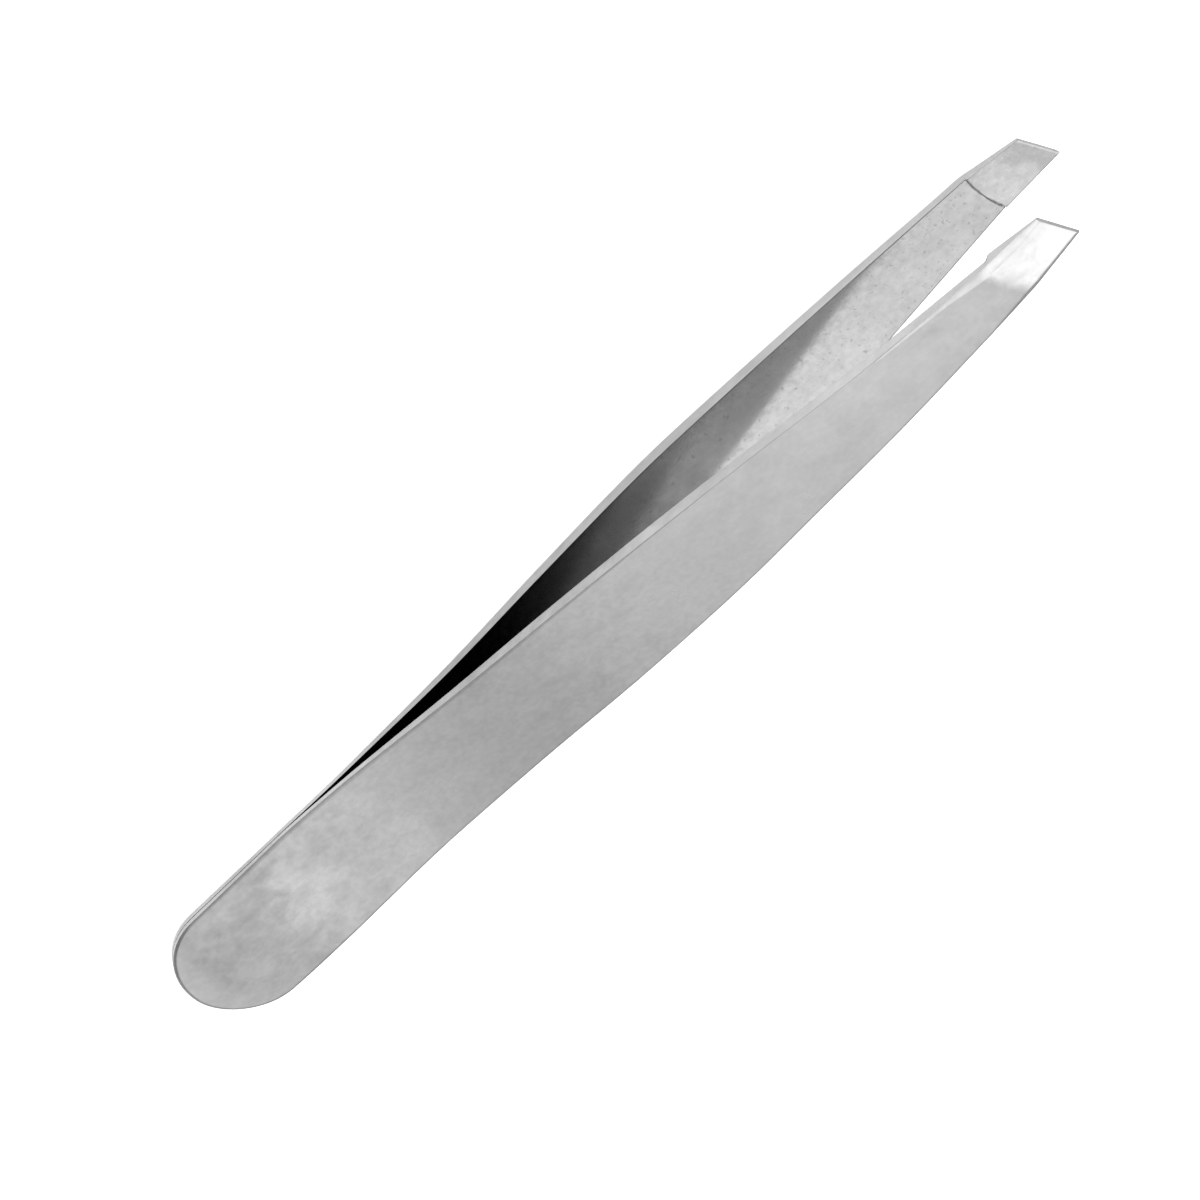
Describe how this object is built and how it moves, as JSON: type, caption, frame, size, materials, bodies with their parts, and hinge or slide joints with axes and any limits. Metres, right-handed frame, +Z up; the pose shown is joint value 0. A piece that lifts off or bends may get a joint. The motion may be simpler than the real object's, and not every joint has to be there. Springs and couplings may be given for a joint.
{
  "type": "slant tweezers",
  "caption": "Sprung stainless steel tweezers with slanted, inward-bent gripping tips and a round spot-welded tail, lying flat with the arms open.",
  "frame": {"origin": "on the ground, under the middle of the tweezers' length and width", "axes": "+X from the round tail towards the slanted tips, +Y across the arms' width, +Z up; the tweezers lie on the lower arm's tail edge and belly, so their joint plane rises 3.8 degrees towards the tips"},
  "size_m": [0.0952, 0.0106, 0.0124],
  "materials": {
    "satin_steel": "satin, fine tumbled and brushed stainless steel",
    "weld_steel": "fused stainless steel, dull"
  },
  "bodies": {
    "tail": {"upper_arm_tail": "satin_steel", "lower_arm_tail": "satin_steel", "rear_spot_weld": "weld_steel", "front_spot_weld": "weld_steel"},
    "upper_arm": {"upper_arm_blade": "satin_steel"},
    "lower_arm": {"lower_arm_blade": "satin_steel"}
  },
  "joints": [
    {"name": "upper_arm_squeeze", "type": "hinge", "parent": "tail", "child": "upper_arm", "pos_m": [-0.02464, 0, 0.00284], "axis": [0, 1, 0], "range_deg": [0, 3.75], "stiffness_Nm_per_rad": 3},
    {"name": "lower_arm_squeeze", "type": "hinge", "parent": "tail", "child": "lower_arm", "pos_m": [-0.02455, 0, 0.00153], "axis": [0, -1, 0], "range_deg": [0, 3.75], "stiffness_Nm_per_rad": 3}
  ],
  "couplings": [
    {"joint": "lower_arm_squeeze", "follows": "upper_arm_squeeze", "ratio": 1}
  ]
}
